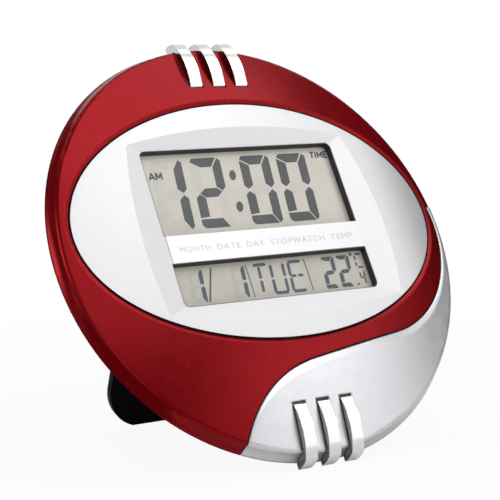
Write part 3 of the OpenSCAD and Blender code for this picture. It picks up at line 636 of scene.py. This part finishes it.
def bead(name, points, radius, closed=False, sides=8):
    """Thin round bead of shadow through points, with axes square to its run and to the face."""
    bm = bmesh.new()
    rings = []
    count = len(points)
    turns = [2 * math.pi * k / sides for k in range(sides)]
    for i, point in enumerate(points):
        ahead = points[(i + 1) % count] if closed or i + 1 < count else point
        behind = points[i - 1] if closed or i else point
        side = (ahead - behind).normalized().cross(OUT).normalized()
        spokes = [(side * math.cos(a) + OUT * math.sin(a)) * (radius * MM) for a in turns]
        rings.append([bm.verts.new(point + spoke) for spoke in spokes])
    for i in range(count if closed else count - 1):
        a, b = rings[i], rings[(i + 1) % count]
        for k in range(sides):
            bm.faces.new((a[k], a[(k + 1) % sides], b[(k + 1) % sides], b[k]))
    if not closed:
        bm.faces.new(rings[0])
        bm.faces.new(rings[-1][::-1])
    new_piece(name, bm, SEAM_SHADE, smooth=True)


gap_shadow_path = []
for k in range(GAP_SHADOW_STEPS):
    turn = 2 * math.pi * k / GAP_SHADOW_STEPS
    x = (OVAL_A + GAP_SHADOW_OUT) * math.cos(turn)
    y = FACE_UP + (OVAL_B + GAP_SHADOW_OUT) * math.sin(turn)
    gap_shadow_path.append(flat(x, y, dome(x, y, -GAP_SHADOW_SUNK)))
bead("face_gap_shadow", gap_shadow_path, GAP_SHADOW_R, closed=True)


def tree_of(name):
    """Search tree over the faces of a node."""
    mesh = nodes[name].data
    spots = [nodes[name].matrix_world @ vert.co for vert in mesh.vertices]
    return BVHTree.FromPolygons(spots, [tuple(face.vertices) for face in mesh.polygons])


# Plain words on the back, beside the buttons, each with its width in units
REAR_WORDS = [("MODE", 8.6), ("SET", 6.0), ("UP", 4.2), ("DOWN", 9.0)]
REAR_H = 2.3
BESIDE_KEY = 6.0
FAR_BEHIND = 60 * MM
rear_tree = tree_of("rear_cover")
inside = 1 if middle("button_1").x < 0 else -1
for i, (word, wide) in enumerate(REAR_WORDS, 1):
    key = middle("button_%d" % i)
    near = key + ACROSS * inside * (BESIDE_KEY + wide / 2) * MM
    low_end = near + ACROSS * (wide / 2 * UNIT) - UP * (REAR_H / 2 * UNIT)
    start = rear_tree.ray_cast(low_end - OUT * FAR_BEHIND, OUT)[0]
    lettering("rear_" + word.lower(), word, REAR_H, wide, start, -1, REAR_PRINT)

# The cheek edge, in millimetres: a low sweep, a straight run and a high sweep
SWEEP_LOW, SWEEP_LOW_R = Vector((9.3, -119.0)), 56.7
SWEEP_HIGH, SWEEP_HIGH_R = Vector((45.9, 1.1)), 56.4
LOW_DEGREES, HIGH_DEGREES, RUN_STEP = 90, 129, 2.0
NOTCH = math.radians(5.8)
between = SWEEP_HIGH - SWEEP_LOW
both_radii = SWEEP_LOW_R + SWEEP_HIGH_R
RUN_A = math.atan2(between.y, between.x) + math.acos(both_radii / between.length) - math.pi / 2
RUN_L = math.sqrt(between.length_squared - both_radii ** 2)
ABOVE = 40


def from_low(x, y):
    """Point of the plan, given along the run and square to it from the middle of the low sweep."""
    cos, sin = math.cos(RUN_A), math.sin(RUN_A)
    return SWEEP_LOW + Vector((x * cos - y * sin, x * sin + y * cos))


def cheek_edge():
    """Points along the cheek edge in the plan, from the low end to the notch."""
    plan = []
    for k in range(LOW_DEGREES, 0, -1):
        a = math.radians(k)
        plan.append(from_low(-SWEEP_LOW_R * math.sin(a), SWEEP_LOW_R * math.cos(a)))
    for k in range(int(RUN_L / RUN_STEP) + 1):
        plan.append(from_low(k * RUN_STEP, SWEEP_LOW_R))
    for k in range(1, HIGH_DEGREES + 1):
        a = math.radians(k)
        rise = SWEEP_HIGH_R * (1 - math.cos(a))
        plan.append(from_low(RUN_L + SWEEP_HIGH_R * math.sin(a), SWEEP_LOW_R + rise))
    return [p for p in plan if p.y * math.cos(NOTCH) - p.x * math.sin(NOTCH) < 0]


def under(tree, spot):
    """Point of a node's front that lies under a place in the plan."""
    return tree.ray_cast(flat(spot.x, spot.y, ABOVE), -OUT)[0]


# Painted shadow: a dark bead in the seam along the cheek, in millimetres, at the height of the shell just beside
# it
SEAM_BESIDE, SEAM_SUNK, SEAM_R, SEAM_REACH = 0.35, 0.2, 0.3, 107.6
shell_tree = tree_of("front_shell")
edge = cheek_edge()
seam = []
for i, p in enumerate(edge):
    way = (edge[min(i + 1, len(edge) - 1)] - edge[max(i - 1, 0)]).normalized()
    beside = p + Vector((-way.y, way.x)) * SEAM_BESIDE
    hit = under(shell_tree, beside)
    if hit and p.length < SEAM_REACH:
        seam.append(hit + face_vector(p.x - beside.x, p.y - beside.y, -SEAM_SUNK) * MM)
bead("cheek_seam_shadow", seam, SEAM_R)

# A smooth patch over the band of the cheek, where its low sweep meets the straight run, in millimetres
PATCH_HALF, PATCH_LIFT = 3.0, 0.03
PATCH_START, PATCH_STEP, PATCH_COUNT = 0.45, 0.4, 12


def run_point(t, wide):
    """Point of the plan at t along the cheek edge from the start of the run, and wide inside the edge."""
    turn = max(-t, 0) / SWEEP_LOW_R
    radius = SWEEP_LOW_R - wide
    return from_low(max(t, 0) - radius * math.sin(turn), radius * math.cos(turn))


cheek_tree = tree_of("cheek_panel")
bm = bmesh.new()
rows = []
for k in range(PATCH_COUNT):
    wide = PATCH_START + PATCH_STEP * k
    heights = []
    for t in (-PATCH_HALF, PATCH_HALF):
        p = run_point(t, wide)
        heights.append((under(cheek_tree, p) - flat(p.x, p.y, 0)).dot(OUT) / MM)
    row = []
    for i in range(PATCH_COUNT + 1):
        share = i / PATCH_COUNT
        p = run_point(PATCH_HALF * (2 * share - 1), wide)
        z = heights[0] * (1 - share) + heights[1] * share + PATCH_LIFT
        row.append(bm.verts.new(flat(p.x, p.y, z)))
    rows.append(row)
skin(bm, rows)
new_piece("band_patch", bm, SILVER, smooth=True)

# Painted shade: dark floors of the grooves that the fins stand in, in millimetres
FIN_IN, FIN_HALF, FIN_PITCH = 81.6, 3.58, 12.9
SEAT_BACK, SEAT_STEP, SEAT_ROWS = 0.26, 2.05, 11
for side, name, lift, mat in ((-1, "low_fin_groove_shade", 0.15, GROOVE_SHADE), (1, "top_fin_groove_shade", -0.3, SEAM_SHADE)):
    bm = bmesh.new()
    for i in (-1, 0, 1):
        ends = (i * FIN_PITCH - FIN_HALF, i * FIN_PITCH + FIN_HALF)
        rows = []
        for k in range(SEAT_ROWS):
            y = side * (FIN_IN - SEAT_BACK + k * SEAT_STEP)
            rows.append([bm.verts.new(flat(x, y, dome(x, y, lift))) for x in ends])
        skin(bm, rows)
    new_piece(name, bm, mat)


# Studio: white background, floor, reflection cards and soft lamps
STUDIO_MID = Vector((0, 0, 0.1))
ROOM_LEVEL, FLOOR_LEVEL, FLOOR_HALF = 0.03, 0.85, 3.0
SQUARE = ((-1, -1), (1, -1), (1, 1), (-1, 1))
# Rays that see the floor glow: its level under the clock, and the distances over which it grows to white
FLOOR_RAYS = (("Is Camera Ray", 0.93, 0.12, 0.45), ("Is Glossy Ray", 0.12, 0.16, 0.6))


def grey_shader(tree, kind, level):
    """Background, matte or glowing shader of an even grey."""
    node = tree.nodes.new(kind)
    node.inputs["Color"].default_value = (level, level, level, 1)
    return node.outputs[0]


def mix_to_output(tree, kind, first, second, share):
    """Mixes two shaders by the share of the second, into an output node."""
    mix = tree.nodes.new("ShaderNodeMixShader")
    tree.links.new(share, mix.inputs["Fac"])
    tree.links.new(first, mix.inputs[1])
    tree.links.new(second, mix.inputs[2])
    out = tree.nodes.new(kind)
    tree.links.new(mix.outputs["Shader"], out.inputs["Surface"])


def world_light():
    """White for the camera and through glass, and a dim even room for the rest."""
    world = bpy.data.worlds.new("studio")
    bpy.context.scene.world = world
    world.use_nodes = True
    tree = world.node_tree
    tree.nodes.clear()
    room = grey_shader(tree, "ShaderNodeBackground", ROOM_LEVEL)
    white = grey_shader(tree, "ShaderNodeBackground", 1)
    rays = tree.nodes.new("ShaderNodeLightPath").outputs
    seen = calculate(tree, "MAXIMUM", rays["Is Camera Ray"], rays["Is Transmission Ray"])
    mix_to_output(tree, "ShaderNodeOutputWorld", room, white, seen)


def studio_sheet(name, corners, finish):
    """Four-cornered sheet that isn't part of the clock, and the empty tree of its material."""
    mesh = bpy.data.meshes.new(name)
    mesh.from_pydata(corners, [], [(0, 1, 2, 3)])
    obj = bpy.data.objects.new(name, mesh)
    bpy.context.scene.collection.objects.link(obj)
    mat = bpy.data.materials.new(finish)
    mat.use_nodes = True
    mat.node_tree.nodes.clear()
    mesh.materials.append(mat)
    return obj, mat.node_tree


def floor():
    """White floor that keeps a faint shadow."""
    corners = [(x * FLOOR_HALF, y * FLOOR_HALF, 0) for x, y in SQUARE]
    tree = studio_sheet("floor", corners, "floor_white")[1]
    matte = grey_shader(tree, "ShaderNodeBsdfDiffuse", FLOOR_LEVEL)
    glow = grey_shader(tree, "ShaderNodeEmission", 1)
    rays = tree.nodes.new("ShaderNodeLightPath").outputs
    coords = tree.nodes.new("ShaderNodeTexCoord")
    away = tree.nodes.new("ShaderNodeVectorMath")
    away.operation = "LENGTH"
    tree.links.new(coords.outputs["Object"], away.inputs[0])
    shares = []
    for ray, near, start, end in FLOOR_RAYS:
        level = fade(tree, away.outputs["Value"], start, end, near, 1.0)
        shares.append(calculate(tree, "MULTIPLY", rays[ray], level))
    mix_to_output(tree, "ShaderNodeOutputMaterial", matte, glow, calculate(tree, "MAXIMUM", *shares))


def card(name, corners, level):
    """Card that shows in reflections only."""
    obj, tree = studio_sheet(name, corners, name)
    out = tree.nodes.new("ShaderNodeOutputMaterial")
    tree.links.new(grey_shader(tree, "ShaderNodeEmission", level), out.inputs["Surface"])
    obj.visible_camera = False
    obj.visible_diffuse = False
    obj.visible_shadow = False


def standing(start, end, low, high):
    """Corners of a card that stands over a line of the floor, between two heights."""
    return [(*start, low), (*end, low), (*end, high), (*start, high)]


def bearing(azimuth, height):
    """Way out from the clock: degrees to the right of the front and degrees up."""
    a, h = math.radians(azimuth), math.radians(height)
    return Vector((math.cos(h) * math.sin(a), -math.cos(h) * math.cos(a), math.sin(h)))


def panel(name, azimuth, height, half_w, half_h, level, far=1.5):
    """Card that faces the clock from a bearing."""
    way = bearing(azimuth, height)
    a = math.radians(azimuth)
    side = Vector((math.cos(a), math.sin(a), 0))
    rise = way.cross(side)
    mid = STUDIO_MID + way * far
    card(name, [mid + side * half_w * i + rise * half_h * k for i, k in SQUARE], level)


def softbox(name, azimuth, height, power, size=0.85, far=1.3):
    """Area lamp that faces the clock from a bearing."""
    lamp = bpy.data.lights.new(name, "AREA")
    lamp.shape = "RECTANGLE"
    lamp.size = lamp.size_y = size
    lamp.energy = power
    obj = bpy.data.objects.new(name, lamp)
    way = bearing(azimuth, height)
    obj.location = STUDIO_MID + way * far
    obj.rotation_euler = (-way).to_track_quat("-Z", "Y").to_euler()
    bpy.context.scene.collection.objects.link(obj)
    obj.visible_camera = False


world_light()
floor()
card("white_card", standing((0.1, 1.6), (2.5, 1.6), 0, 0.9), level=1.0)
card("dark_card", standing((-0.8, -0.1), (-0.34, 0.42), 0.001, 0.1), level=0.01)
floor_spots = ((-0.5, -0.3), (-0.09, -0.3), (-0.09, 0.12), (-0.5, 0.12))
card("floor_card", [(x, y, 0.0015) for x, y in floor_spots], level=0.01)
panel("fin_card", azimuth=-152, height=2, half_w=0.16, half_h=0.07, level=0.75)
panel("over_card", azimuth=112, height=56, half_w=0.3, half_h=0.25, level=0.6)
softbox("overhead", azimuth=56, height=69, power=5.3)
softbox("left", azimuth=-100, height=20, power=4.5, size=0.6)
softbox("right_front", azimuth=45, height=42, power=2.6)
softbox("front", azimuth=4, height=52, power=2.2, size=0.7)
softbox("camera_fill", azimuth=-35, height=22, power=2.8)
softbox("right_low", azimuth=36, height=12, power=2.7)
softbox("right_back", azimuth=135, height=42, power=1.7)
softbox("back_top", azimuth=200, height=58, power=3.0)

# Camera fitted to the photograph: right, up and back in the face's axes, and its place in millimetres
CAMERA_AXES = [(0.8397, -0.2899, 0.4592), (0.0762, 0.9001, 0.4289), (-0.5377, -0.3251, 0.7779)]
CAMERA_PLACE = (-408.015, -254.417, 574.035)
FOCAL_PIXELS, PHOTO_PIXELS, SENSOR = 1578.98, 500, 36.0


def camera():
    """Camera from its own axes."""
    data = bpy.data.cameras.new("camera")
    data.sensor_width = SENSOR
    data.lens = FOCAL_PIXELS * SENSOR / PHOTO_PIXELS
    data.clip_start = 0.05
    obj = bpy.data.objects.new("camera", data)
    axes = Matrix([face_vector(*axis) for axis in CAMERA_AXES]).transposed()
    place = window_mid + face_vector(*CAMERA_PLACE) * MM
    obj.matrix_world = Matrix.Translation(place) @ axes.to_4x4()
    bpy.context.scene.collection.objects.link(obj)
    bpy.context.scene.camera = obj


camera()
bpy.context.scene.view_settings.view_transform = "Standard"
